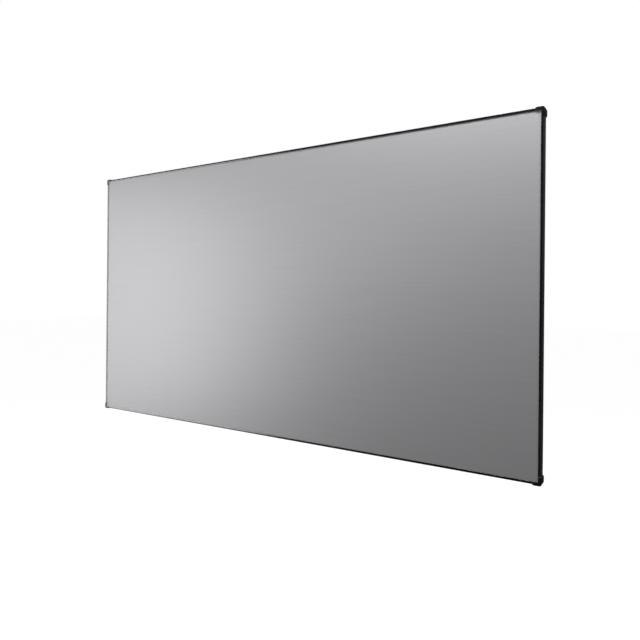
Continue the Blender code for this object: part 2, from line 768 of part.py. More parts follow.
def bracket_place(side):
    """Halfway between two springs, near a quarter of the width from each end."""
    places = [s for s in spring_places(side) if s > 0]
    middle = len(places) // 2
    return (places[middle - 1] + places[middle]) / 2


def add_wall_brackets(side, frame, material):
    """The two brackets of one long side, each with two slots for wall screws."""
    path = bracket_path(side)
    hole_u = path[-1][0] - BRACKET_HOLE_MARGIN - BRACKET_HOLE_LENGTH / 2
    holes = [slot_outline(hole_u, s * BRACKET_HOLE_PITCH / 2) for s in (-1, 1)]
    reach = bracket_place(side)
    names = ("left", "right") if side == "top" else ("right", "left")
    for name, s in zip(names, (-reach, reach)):
        title = f"{side}_wall_bracket_{name}"
        mesh = extruded(title, [ribbon(path, BRACKET_PLATE)], -BRACKET_WIDTH / 2, BRACKET_WIDTH / 2)
        bracket = add_part(title, mesh, material, frame, (0, 0, s))
        slots = flat_plate("slots", holes, V_WALL - 2 * BRACKET_PLATE, V_WALL + BRACKET_PLATE)
        boolean(bracket, add_cutter(f"{title}_slots", slots, frame, (0, 0, s)))


def main():
    sheet = finish("grey_optical_sheet", (0.36, 0.36, 0.37), 0.55)
    edging = finish("black_vinyl_edging", (0.02, 0.02, 0.02), 0.6)
    aluminium = finish("anodised_aluminium_rail", (0.62, 0.63, 0.64), 0.38, 1.0)
    tube = finish("mill_aluminium_tube", (0.66, 0.67, 0.68), 0.42, 1.0)
    bezel = finish("black_anodised_bezel", (0.006, 0.006, 0.007), 0.32)
    cap = finish("black_moulded_cap", (0.008, 0.008, 0.008), 0.42)
    plate = finish("zinc_plated_plate", (0.56, 0.57, 0.58), 0.35, 1.0)
    clip = finish("zinc_plated_clip", (0.56, 0.57, 0.58), 0.35, 1.0)
    rod = finish("spring_steel_and_glass_fibre", (0.5, 0.5, 0.5), 0.35, 0.8)
    screw_finish = finish("black_oxide_screw", (0.02, 0.02, 0.022), 0.4, 1.0)
    bracket = finish("black_powder_coated_bracket", (0.015, 0.015, 0.016), 0.55)

    plate_screw = screw_mesh("plate_screw", V_PLATE_BACK - V_CHANNEL_FLOOR)
    clip_screw = screw_mesh("clip_screw", V_CLIP + CLIP_PLATE - V_CHANNEL_FLOOR)
    spring = spring_mesh()

    centre = frame_empty("screen_centre", 0, (0, 0))
    add_sheet(centre, sheet)
    add_bar(centre, tube)
    for side, (degrees, _, place) in SIDES.items():
        frame = frame_empty(f"{side}_side", degrees, place)
        add_rails(side, frame, aluminium)
        add_bezels(side, frame, bezel)
        add_edging(side, frame, edging)
        add_tension_row(side, frame, rod, spring)
        if side in ("top", "bottom"):
            add_splice(side, frame, plate, plate_screw, screw_finish)
            add_bar_clip(side, frame, clip, clip_screw, screw_finish)
            add_wall_brackets(side, frame, bracket)
    for corner, (degrees, place) in CORNERS.items():
        frame = frame_empty(f"{corner}_corner", degrees, place)
        add_elbow(corner, frame, plate, plate_screw, screw_finish)
        add_cap(corner, frame, cap)
    bpy.data.meshes.remove(spring)
    for part in PARTS.objects:
        if part.type == "MESH":
            even_shading(part)


clear_scene()
PARTS = new_collection("projection_screen")
CUTTERS = new_collection("cutters")
main()
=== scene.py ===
"""A fixed-frame projection screen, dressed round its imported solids.

A grey optical sheet is held taut over a slim black-edged frame. Behind it are natural aluminium
rails, black vinyl edging drawn inwards by steel springs on glass-fibre rods, zinc-plated joining
plates and powder-coated wall brackets.

Lengths are in metres, and MM turns millimetres into metres. X runs to the right as the viewer sees
the screen, the picture faces -Y and Z is up. Whatever goes along one side of the frame is drawn in
that side's own axes: u inwards from the outer face of the bezel, v backwards from the front of the
corner caps, and s along the side.
"""

import logging
import math
from dataclasses import dataclass, replace
from enum import Enum
from itertools import accumulate
from typing import Any

import bmesh
import bpy
from mathutils import Matrix, Vector


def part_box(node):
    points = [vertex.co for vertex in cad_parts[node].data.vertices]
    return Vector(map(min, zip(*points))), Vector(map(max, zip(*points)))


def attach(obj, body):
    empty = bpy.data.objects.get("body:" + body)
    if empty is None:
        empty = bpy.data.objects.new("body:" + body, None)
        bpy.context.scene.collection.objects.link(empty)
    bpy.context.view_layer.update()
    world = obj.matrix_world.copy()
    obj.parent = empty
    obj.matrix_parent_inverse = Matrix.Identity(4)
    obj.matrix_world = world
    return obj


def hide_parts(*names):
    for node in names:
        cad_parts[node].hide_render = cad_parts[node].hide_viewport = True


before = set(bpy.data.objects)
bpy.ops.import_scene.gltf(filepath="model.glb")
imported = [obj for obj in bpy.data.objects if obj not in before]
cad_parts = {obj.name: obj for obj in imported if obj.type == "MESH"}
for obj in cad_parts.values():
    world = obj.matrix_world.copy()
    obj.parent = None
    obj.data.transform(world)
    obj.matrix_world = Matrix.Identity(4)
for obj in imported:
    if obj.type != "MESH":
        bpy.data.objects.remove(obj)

LOG = logging.getLogger("projection_screen")
MM = 0.001
BODY = "root"
FULL_TURN = 2 * math.pi
WHITE = "#FFFFFF"
# A Wave texture of scale one repeats after this length.
WAVE_PERIOD = FULL_TURN / 20
# Nearly all values of a Noise texture lie between these two.
NOISE_LOW, NOISE_HIGH = 0.3, 0.7
# A Mix node's sockets for its factor, its two colours and its mixed colour.
MIX_FACTOR, MIX_FIRST, MIX_SECOND, MIX_RESULT = 0, 6, 7, 2

Point2 = tuple[float, float]
Point3 = tuple[float, float, float]
Colour = tuple[float, float, float, float]


def linear(code: str) -> Colour:
    """Turn an sRGB hex colour into linear light.

    Args:
        code: The colour as six hex digits after a hash sign.

    Returns:
        Red, green, blue and an alpha of one.
    """
    channels = [int(code[i : i + 2], 16) / 255 for i in (1, 3, 5)]
    light = [c / 12.92 if c <= 0.04045 else ((c + 0.055) / 1.055) ** 2.4 for c in channels]
    return (light[0], light[1], light[2], 1.0)


def add_node(
    tree: bpy.types.NodeTree,
    kind: str,
    settings: dict[str | int, Any] | None = None,
    links: dict[str | int, bpy.types.NodeSocket] | None = None,
) -> bpy.types.Node:
    """Add one node to a tree, with its settings and its incoming links.

    Args:
        tree: The node tree that gets the node.
        kind: The node's type.
        settings: Values by the name of a property, or by the name or number of an input.
        links: Output sockets by the name or number of the input that each one feeds.

    Returns:
        The new node.
    """
    node = tree.nodes.new(kind)
    for name, value in (settings or {}).items():
        if isinstance(name, str) and name in node.bl_rna.properties:
            setattr(node, name, value)
        else:
            node.inputs[name].default_value = value
    for name, socket in (links or {}).items():
        tree.links.new(socket, node.inputs[name])
    return node


class Grain(Enum):
    """The way that grains are drawn out, as factors on their fineness along X, Y and Z."""

    ACROSS = (0.02, 1.0, 1.0)
    UPRIGHT = (1.0, 1.0, 0.02)
    NONE = (1.0, 1.0, 1.0)


class Surface:
    """A material's nodes while they are being linked.

    Attributes:
        tree: The node tree.
        shader: The Principled shader.
        place: The outputs of the texture coordinates.
    """

    def __init__(self, tree: bpy.types.NodeTree, settings: dict[str | int, Any]) -> None:
        """Put a shader in an empty tree.

        Args:
            tree: The tree.
            settings: The shader's values by the names of its inputs.
        """
        self.tree = tree
        self.shader = add_node(tree, "ShaderNodeBsdfPrincipled", settings)
        self.place = add_node(tree, "ShaderNodeTexCoord").outputs
        add_node(tree, "ShaderNodeOutputMaterial", links={"Surface": self.shader.outputs["BSDF"]})

    def grains(self, grain_mm: float, grain: Grain, detail: float) -> bpy.types.NodeSocket:
        """Spread grains of a real size over the surface.

        Args:
            grain_mm: Size of a grain in millimetres.
            grain: The way that the grains are drawn out.
            detail: Octaves of finer grains.

        Returns:
            A value that follows the grains, from nought to one.
        """
        scale = 1 / (grain_mm * MM)
        sizes = {"Scale": [scale * way for way in grain.value]}
        mapping = add_node(self.tree, "ShaderNodeMapping", sizes, {"Vector": self.place["Object"]})
        settings = {"Scale": 1.0, "Detail": detail}
        links = {"Vector": mapping.outputs["Vector"]}
        return add_node(self.tree, "ShaderNodeTexNoise", settings, links).outputs["Fac"]

    def feed(
        self,
        name: str,
        kind: str,
        settings: dict[str | int, Any],
        links: dict[str | int, bpy.types.NodeSocket],
        output: str | int,
    ) -> None:
        """Add a node, as add_node does, and lead one of its outputs to the shader's input of a name."""
        node = add_node(self.tree, kind, settings, links)
        self.tree.links.new(node.outputs[output], self.shader.inputs[name])


@dataclass(frozen=True)
class Finish:
    """What every surface finish has: a name, a colour and how it takes light.

    Attributes:
        name: The material's name.
        colour: sRGB hex colour, or the lighter of two.
        roughness: Mean roughness.
        metallic: One for bare metal, nought for paint, plastic and oxide films, or between for flakes.
        ior: Index of refraction.
    """

    name: str
    colour: str
    roughness: float
    metallic: float = 0.0
    ior: float = 1.5

    def material(self) -> bpy.types.Material:
        """Return the material of this finish, which is made the first time it is asked for."""
        return bpy.data.materials.get(self.name) or self.build()

    def build(self) -> bpy.types.Material:
        """Make the material.

        Returns:
            The material, with its pattern linked to its shader.
        """
        material = bpy.data.materials.new(self.name)
        material.use_nodes = True
        material.node_tree.nodes.clear()
        settings = {
            "Base Color": linear(self.colour),
            "Roughness": self.roughness,
            "Metallic": self.metallic,
            "IOR": self.ior,
        }
        self.pattern(Surface(material.node_tree, settings))
        return material

    def pattern(self, surface: Surface) -> None:
        """Leave the surface plain."""


@dataclass(frozen=True)
class GrainedFinish(Finish):
    """A finish that its making leaves slightly uneven, with grains of a real size.

    Attributes:
        grain: The way that the grains are drawn out.
        grain_mm: Size of a grain in millimetres.
        detail: Octaves of finer grains.
        gloss_swing: How far the roughness goes up and down.
        relief_mm: Depth of the grains in millimetres.
        dark: sRGB hex colour of the darkest grains, or nothing where the colour is even.
    """

    grain: Grain = Grain.NONE
    grain_mm: float = 1.0
    detail: float = 2.0
    gloss_swing: float = 0.0
    relief_mm: float = 0.0
    dark: str = ""

    def pattern(self, surface: Surface) -> None:
        """Link the grains to the colour, the gloss and the relief.

        Args:
            surface: The nodes of the material.
        """
        grains = surface.grains(self.grain_mm, self.grain, self.detail)
        if self.dark:
            colours = {"data_type": "RGBA", MIX_FIRST: linear(self.dark), MIX_SECOND: linear(self.colour)}
            surface.feed("Base Color", "ShaderNodeMix", colours, {MIX_FACTOR: grains}, MIX_RESULT)
        if self.gloss_swing:
            gloss = {
                "From Min": NOISE_LOW,
                "From Max": NOISE_HIGH,
                "To Min": self.roughness - self.gloss_swing,
                "To Max": self.roughness + self.gloss_swing,
            }
            surface.feed("Roughness", "ShaderNodeMapRange", gloss, {"Value": grains}, "Result")
        if self.relief_mm:
            depth = {"Distance": self.relief_mm * MM}
            surface.feed("Normal", "ShaderNodeBump", depth, {"Height": grains}, "Normal")

    def along(self, grain: Grain) -> "GrainedFinish":
        """Return the same finish with its grains drawn out one way, which its name then tells."""
        return replace(self, name=f"{self.name}_{grain.name.lower()}", grain=grain)


@dataclass(frozen=True)
class OpticalSheet(GrainedFinish):
    """Grey optical film, coated and embossed: a satin surface with fine ribs across the picture.

    Its coating holds fine aluminium flakes, so that it is partly metallic and speckled, and runs a
    little darker and lighter in faint streaks along the ribs. The real ribs are about 0.1 mm apart.
    They are drawn 2 mm apart, so that they show from close by.

    Attributes:
        rib_pitch_mm: From one rib to the next in millimetres.
        rib_depth_mm: Their depth in millimetres.
        streak_mm: Height of a streak in millimetres.
        streak_dark: sRGB hex colour of the darkest streaks.
    """

    grain_mm: float = 1.5
    detail: float = 3.0
    gloss_swing: float = 0.02
    rib_pitch_mm: float = 2.0
    rib_depth_mm: float = 0.02
    streak_mm: float = 6.0
    streak_dark: str = "#878789"

    def pattern(self, surface: Surface) -> None:
        """Link the speckle, the ribs and the streaks.

        Args:
            surface: The nodes of the material.
        """
        super().pattern(surface)
        ridges = {"bands_direction": "Z", "Scale": WAVE_PERIOD / (self.rib_pitch_mm * MM)}
        ribs = add_node(surface.tree, "ShaderNodeTexWave", ridges, {"Vector": surface.place["Object"]})
        depth = {"Distance": self.rib_depth_mm * MM}
        surface.feed("Normal", "ShaderNodeBump", depth, {"Height": ribs.outputs["Fac"]}, "Normal")
        streaks = surface.grains(self.streak_mm, Grain.ACROSS, self.detail)
        colours = {"data_type": "RGBA", MIX_FIRST: linear(self.streak_dark), MIX_SECOND: linear(self.colour)}
        surface.feed("Base Color", "ShaderNodeMix", colours, {MIX_FACTOR: streaks}, MIX_RESULT)


@dataclass(frozen=True)
class ExtrudedStrip(GrainedFinish):
    """Aluminium drawn through a die, bare or anodised: satin with fine lines along its length."""

    grain_mm: float = 0.8
    gloss_swing: float = 0.04
    relief_mm: float = 0.01


@dataclass(frozen=True)
class MouldedPlastic(GrainedFinish):
    """Injection-moulded ABS with the fine even texture of a spark-eroded mould."""

    grain_mm: float = 0.5
    detail: float = 1.0
    gloss_swing: float = 0.05
    relief_mm: float = 0.03


@dataclass(frozen=True)
class PlatedSteel(GrainedFinish):
    """Bright zinc plating on pressed steel: a cloudy, faintly blue metal."""

    grain_mm: float = 6.0
    detail: float = 4.0
    gloss_swing: float = 0.06


@dataclass(frozen=True)
class PowderCoat(GrainedFinish):
    """Black powder coat, baked: satin with the slight dimples known as orange peel."""

    grain_mm: float = 1.2
    detail: float = 0.0
    relief_mm: float = 0.06


@dataclass(frozen=True)
class BlackOxide(GrainedFinish):
    """Black oxide on a steel screw: dark metal with an oily, slightly uneven gloss."""

    gloss_swing: float = 0.08


@dataclass(frozen=True)
class SpringWire(GrainedFinish):
    """Drawn spring steel, nickel plated: bright wire with faint marks of the die."""

    grain_mm: float = 0.4
    gloss_swing: float = 0.05


@dataclass(frozen=True)
class GlassFibre(GrainedFinish):
    """Pultruded glass fibre: pale resin with fibres along the rod."""

    grain_mm: float = 0.5
    relief_mm: float = 0.02


@dataclass(frozen=True)
class CoatedVinyl(Finish):
    """Black vinyl calendered on woven scrim, whose threads show as a faint grid.

    The real threads are 0.5 mm apart. They are drawn 1.2 mm apart, so that they show.

    Attributes:
        thread_mm: From one thread to the next in millimetres.
        thread_depth_mm: Depth of the grid in millimetres.
    """

    thread_mm: float = 1.2
    thread_depth_mm: float = 0.05

    def pattern(self, surface: Surface) -> None:
        """Link the grid of threads, which follows the folds of the strip through its UV map.

        Args:
            surface: The nodes of the material.
        """
        threads = {}
        for number, direction in enumerate(("X", "Y")):
            ridges = {"bands_direction": direction, "Scale": WAVE_PERIOD / (self.thread_mm * MM)}
            wave = add_node(surface.tree, "ShaderNodeTexWave", ridges, {"Vector": surface.place["UV"]})
            threads[number] = wave.outputs["Fac"]
        weave = add_node(surface.tree, "ShaderNodeMath", {"operation": "MAXIMUM"}, threads)
        depth = {"Distance": self.thread_depth_mm * MM}
        surface.feed("Normal", "ShaderNodeBump", depth, {"Height": weave.outputs["Value"]}, "Normal")


# The anodic film on the bezel is clear aluminium oxide, which reflects more than plastic does.
OXIDE_FILM_IOR = 1.77
SHEET = OpticalSheet("grey_optical_sheet", "#8E8E90", 0.45, 0.3)
BEZEL = ExtrudedStrip("black_anodised_bezel", "#0B0B0C", 0.2, ior=OXIDE_FILM_IOR, dark="#08080A")
CAP = MouldedPlastic("moulded_abs_cap", "#08080A", 0.26)
RAIL = ExtrudedStrip("anodised_rail", "#C6C8CA", 0.36, 1.0, dark="#B2B4B6")
ROD = GlassFibre("glass_fibre_rod", "#D9D6C2", 0.38, dark="#BDBAA4")
TUBE = ExtrudedStrip(
    "mill_aluminium_tube", "#CDCFD1", 0.3, 1.0, grain=Grain.UPRIGHT, grain_mm=0.6, dark="#AEB0B3"
)
ZINC = PlatedSteel("zinc_plated_steel", "#C3C8CE", 0.3, 1.0, dark="#A5ABB3")
COATED_BRACKET = PowderCoat("powder_coated_bracket", "#1A1A1B", 0.48)
OXIDE_SCREW = BlackOxide("black_oxide_screw", "#2B2B2D", 0.36, 1.0)
WIRE = SpringWire("spring_wire", "#C8C9CA", 0.24, 1.0)
VINYL = CoatedVinyl("coated_vinyl", "#1B1B1C", 0.5)
BOARD = Finish("black_board", "#101010", 0.9)


def arc(centre: Point2, radius: float, start: float, end: float, steps: int) -> list[Point2]:
    """Points along an arc from one angle to another, in degrees: one more than it has chords."""
    angles = [math.radians(start + (end - start) * i / steps) for i in range(steps + 1)]
    return [(centre[0] + radius * math.cos(a), centre[1] + radius * math.sin(a)) for a in angles]


def rounded(corners: list[Point3], steps: int = 4) -> list[Point2]:
    """An outline whose corners are turned into arcs.

    Args:
        corners: Each corner of the outline with the radius of its rounding.
        steps: How many chords each arc has.

    Returns:
        The points of the outline.
    """
    points: list[Point2] = []
    for i, (x, y, radius) in enumerate(corners):
        if not radius:
            points.append((x, y))
            continue
        here = Vector((x, y))
        enter = (Vector(corners[i - 1][:2]) - here).normalized()
        leave = (Vector(corners[(i + 1) % len(corners)][:2]) - here).normalized()
        centre = here + (enter + leave) * radius
        for step in range(steps + 1):
            turn = math.radians(90 * step / steps)
            point = centre - (leave * math.cos(turn) + enter * math.sin(turn)) * radius
            points.append((point.x, point.y))
    return points


def new_object(name: str, data: bpy.types.ID) -> bpy.types.Object:
    """Put an object in the scene, at the origin.

    Args:
        name: Its name.
        data: Its mesh, curve, lamp or camera.

    Returns:
        The object.
    """
    made = bpy.data.objects.new(name, data)
    bpy.context.scene.collection.objects.link(made)
    return made


def from_bmesh(name: str, made: bmesh.types.BMesh) -> bpy.types.Object:
    """Turn a finished edit mesh into an object.

    Args:
        name: The object's name.
        made: The edit mesh, which is freed.

    Returns:
        The object.
    """
    mesh = bpy.data.meshes.new(name)
    made.to_mesh(mesh)
    made.free()
    return new_object(name, mesh)


def extrude(name: str, outline: list[Point2], start: float, end: float) -> bpy.types.Object:
    """Draw an outline out along s.

    Args:
        name: The object's name.
        outline: The points of the section, as u and v.
        start: Where the object starts.
        end: Where it ends.

    Returns:
        An object with a closed mesh.
    """
    made = bmesh.new()
    first, last = ([made.verts.new((u, v, s)) for u, v in outline] for s in (start, end))
    made.faces.new(first)
    made.faces.new(last)
    for i, corner in enumerate(first):
        made.faces.new((first[i - 1], corner, last[i], last[i - 1]))
    bmesh.ops.recalc_face_normals(made, faces=made.faces)
    return from_bmesh(name, made)


def block(name: str, low: Point3 | Vector, high: Point3 | Vector) -> bpy.types.Object:
    """A block between two corners.

    Args:
        name: The object's name.
        low: Its lowest corner.
        high: Its highest corner.

    Returns:
        An object with a closed mesh.
    """
    made = bmesh.new()
    bmesh.ops.create_cube(made, size=1)
    for vertex in made.verts:
        vertex.co = [low[i] if vertex.co[i] < 0 else high[i] for i in range(3)]
    return from_bmesh(name, made)


def panel(name: str, corners: list[Point3 | Vector], material: bpy.types.Material) -> bpy.types.Object:
    """A flat panel with four corners.

    Args:
        name: Its name.
        corners: Its corners, in order.
        material: Its material.

    Returns:
        The panel.
    """
    mesh = bpy.data.meshes.new(name)
    mesh.from_pydata(corners, [], [(0, 1, 2, 3)])
    mesh.materials.append(material)
    return new_object(name, mesh)


def add_bevel(thing: bpy.types.Object, width: float, segments: int = 2, degrees: float = 30) -> None:
    """Round an object's edges with a modifier.

    Args:
        thing: The object.
        width: Width of the rounding.
        segments: How many steps the rounding has.
        degrees: Only edges that turn by more than this are rounded.
    """
    bevel = thing.modifiers.new("rounding", "BEVEL")
    bevel.width = width
    bevel.segments = segments
    bevel.limit_method = "ANGLE"
    bevel.angle_limit = math.radians(degrees)


def plain_mesh(thing: bpy.types.Object) -> bpy.types.Object:
    """Swap an object with modifiers for one with the mesh that they make.

    Args:
        thing: The object, which is removed.

    Returns:
        A new object of the same name, with a plain mesh.
    """
    graph = bpy.context.evaluated_depsgraph_get()
    mesh = bpy.data.meshes.new_from_object(thing.evaluated_get(graph))
    name = thing.name
    bpy.data.objects.remove(thing, do_unlink=True)
    mesh.name = name
    return new_object(name, mesh)


def smooth(thing: bpy.types.Object, degrees: float = 35) -> bpy.types.Object:
    """Shade a mesh smooth.

    Args:
        thing: The mesh's object.
        degrees: Edges that turn by more than this stay sharp.

    Returns:
        The same object.
    """
    thing.data.shade_smooth()
    thing.data.set_sharp_from_angle(angle=math.radians(degrees))
    return thing


def finished(thing: bpy.types.Object, finish: Finish, slot: str, *nodes: str) -> None:
    """Dress a piece that is still bare, let it ride on the frame and put it in place of its nodes.

    Args:
        thing: The piece, in its place.
        finish: Its finish.
        slot: The record's material slot; not used.
        nodes: The nodes that it stands for.
    """
    if not thing.data.materials:
        thing.data.materials.append(finish.material())
    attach(thing, BODY)
    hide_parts(*nodes)
    LOG.info("%s: %d faces, %s", thing.name, len(thing.data.polygons), thing.data.materials[0].name)


class Place(Enum):
    """A side or a corner of the frame, whose value is its turn about Y in degrees."""

    @property
    def title(self) -> str:
        """Its name as the nodes have it."""
        return self.name.lower()


class Side(Place):
    """The four sides of the frame."""

    LEFT = 0
    TOP = 90
    RIGHT = 180
    BOTTOM = 270

    @property
    def long(self) -> bool:
        """Whether the side runs across."""
        return self in (Side.TOP, Side.BOTTOM)

    @property
    def grain(self) -> Grain:
        """The way that metal drawn along the side runs."""
        return Grain.ACROSS if self.long else Grain.UPRIGHT


class Corner(Place):
    """The four corners of the frame."""

    BOTTOM_LEFT = 0
    TOP_LEFT = 90
    TOP_RIGHT = 180
    BOTTOM_RIGHT = 270


class FrameSizes:
    """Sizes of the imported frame, read from the boxes of its nodes.

    Attributes:
        half_width: From the middle to the bezel's outer face.
        half_height: The same, upwards.
        front: Front of the corner caps, in the frame's Y. All below are measured in a side's axes.
        cap_back: Back of the caps.
        cap_proud: How far the caps stand out over the bezel.
        cap_leg: Length of a cap's leg.
        bezel_front: Front of the bezel.
        bezel_back: Back of the bezel.
        bezel_lip: Reach of the bezel over the picture.
        rail_outer: Outer face of the rails.
        rail_front: Front of the rails.
        rail_back: Back of the rails.
    """

    def __init__(self) -> None:
        """Measure the bezel, a rail and a cap."""
        cap_low, cap_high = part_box("bottom_left_cap")
        bezel_low, bezel_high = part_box("left_bezel")
        rail_low, rail_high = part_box("left_rail")
        self.half_width = -bezel_low.x
        self.half_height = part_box("top_bezel_left")[1].z
        self.front = cap_low.y
        self.cap_back = cap_high.y - self.front
        self.cap_proud = -self.half_width - cap_low.x
        self.cap_leg = cap_high.x + self.half_width
        self.bezel_front = bezel_low.y - self.front
        self.bezel_back = bezel_high.y - self.front
        self.bezel_lip = bezel_high.x + self.half_width
        self.rail_outer = rail_low.x + self.half_width
        self.rail_front = rail_low.y - self.front
        self.rail_back = rail_high.y - self.front

    def matrix(self, place: Place) -> Matrix:
        """Turn the axes of a side or a corner into the frame's.

        Args:
            place: The side or corner.

        Returns:
            The matrix that does so.
        """
        across = ("right" in place.title) - ("left" in place.title)
        up = ("top" in place.title) - ("bottom" in place.title)
        turn = Matrix.Rotation(math.radians(place.value), 4, "Y")
        return Matrix.Translation((across * self.half_width, self.front, up * self.half_height)) @ turn

    def half_length(self, side: Side) -> float:
        """Half the length of a side between the outer faces of the bezel."""
        return self.half_width if side.long else self.half_height

    def reach(self, side: Side, node: str) -> tuple[float, float]:
        """Where a node starts and where it ends along a side."""
        places = [(self.matrix(side).inverted() @ corner).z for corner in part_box(node)]
        return min(places), max(places)


@dataclass(frozen=True)
class PictureSheet:
    """The optical sheet, stretched flat over the ridges of the rails.

    Attributes:
        edge: Rounding of its cut edge.
    """

    edge: float = 0.15 * MM

    def build(self) -> None:
        """Build the sheet."""
        low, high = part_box("screen_sheet")
        sheet = block("picture_sheet", low, high)
        add_bevel(sheet, self.edge)
        sheet = smooth(plain_mesh(sheet), degrees=20)
        finished(sheet, SHEET, "screen_sheet", "screen_sheet")


@dataclass(frozen=True)
class BezelStrips:
    """The black strips round the picture, mitred at the corners.

    Attributes:
        sizes: The frame's sizes.
        wall: Thickness of the strip.
        rear_lip: Reach of the lip behind the rail.
        edge: Rounding of its outer edges.
        gap: Clearance left at a mitre.
    """

    sizes: FrameSizes
    wall: float = 1.5 * MM
    rear_lip: float = 6.0 * MM
    edge: float = 0.4 * MM
    gap: float = 0.3 * MM / math.sqrt(2)

    def section(self) -> list[Point2]:
        """Draw the C-shaped section: front lip, outer face and rear lip.

        Returns:
            The points of its outline.
        """
        wall, edge, lip = self.wall, self.edge, self.sizes.bezel_lip
        front, back = self.sizes.bezel_front, self.sizes.bezel_back
        return rounded(
            [
                (0, front, edge),
                (lip, front, edge),
                (lip, front + wall, 0),
                (wall, front + wall, 0),
                (wall, back - wall, 0),
                (self.rear_lip, back - wall, 0),
                (self.rear_lip, back, edge),
                (0, back, edge),
            ]
        )

    def build(self) -> None:
        """Build the six strips."""
        for side in Side:
            for end in ("_left", "_right") if side.long else ("",):
                node = f"{side.title}_bezel{end}"
                start, stop = self.sizes.reach(side, node)
                strip = extrude(f"{node}_strip", self.section(), start, stop)
                self.mitre(strip.data, start, stop, self.sizes.half_length(side))
                strip.data.transform(self.sizes.matrix(side))
                finished(smooth(strip), BEZEL.along(side.grain), "bezel", node)

    def mitre(self, mesh: bpy.types.Mesh, start: float, stop: float, half: float) -> None:
        """Cut the ends that reach a corner of the frame to 45 degrees.

        Args:
            mesh: The strip in its side's axes.
            start: Where it starts.
            stop: Where it ends.
            half: Half the length of the side.
        """
        for vertex in mesh.vertices:
            end = stop if vertex.co.z > (start + stop) / 2 else start
            if half - abs(end) < self.edge:
                vertex.co.z = math.copysign(half - vertex.co.x - self.gap, end)


@dataclass(frozen=True)
class CornerCaps:
    """The moulded caps over the corners, proud of the strips all round.

    Attributes:
        sizes: The frame's sizes.
        skin: Thickness at the front and the back.
        clearance: Gap to the strips.
        radius: Rounding of the outer corner.
        taper: Length over which each leg narrows to its tip.
        tip: How far a leg's tip still stands out.
        edge: Rounding of all edges.
    """

    sizes: FrameSizes
    skin: float = 1.5 * MM
    clearance: float = 0.3 * MM
    radius: float = 8.0 * MM
    taper: float = 4.0 * MM
    tip: float = 1.2 * MM
    edge: float = 0.5 * MM

    def outline(self) -> list[Point2]:
        """Draw the cap as seen from the front, before its opening is cut.

        Returns:
            The points of its outline.
        """
        proud, leg = self.sizes.cap_proud, self.sizes.cap_leg
        centre = self.radius - proud
        tip = self.tip + self.clearance
        return arc((centre, centre), self.radius, 180, 270, 12) + [
            (leg - self.taper, -proud),
            (leg, -tip),
            (leg, leg),
            (-tip, leg),
            (-proud, leg - self.taper),
        ]

    def cutters(self) -> list[bpy.types.Object]:
        """Make the blocks that are cut out of a cap.

        Returns:
            The space for the strips, and the opening towards the picture.
        """
        gap, skin, radius = self.clearance, self.skin, self.radius
        lip, back = self.sizes.bezel_lip, self.sizes.cap_back
        past = self.sizes.cap_leg + radius
        return [
            block("strip_space", (-gap, skin, -gap), (past, back - skin, past)),
            block("picture_opening", (lip, -radius, lip), (past, back + radius, past)),
        ]

    def build(self) -> None:
        """Build the four caps."""
        for corner in Corner:
            node = f"{corner.title}_cap"
            cap = extrude(f"{node}_moulding", self.outline(), -self.sizes.cap_back, 0)
            cap.data.transform(Matrix.Rotation(math.radians(90), 4, "X"))
            cutters = self.cutters()
            for cutter in cutters:
                cap.modifiers.new(cutter.name, "BOOLEAN").object = cutter
            add_bevel(cap, self.edge, segments=3, degrees=40)
            cap = plain_mesh(cap)
            for cutter in cutters:
                bpy.data.objects.remove(cutter, do_unlink=True)
            cap.data.transform(self.sizes.matrix(corner))
            finished(smooth(cap, degrees=30), CAP, "cap", node)


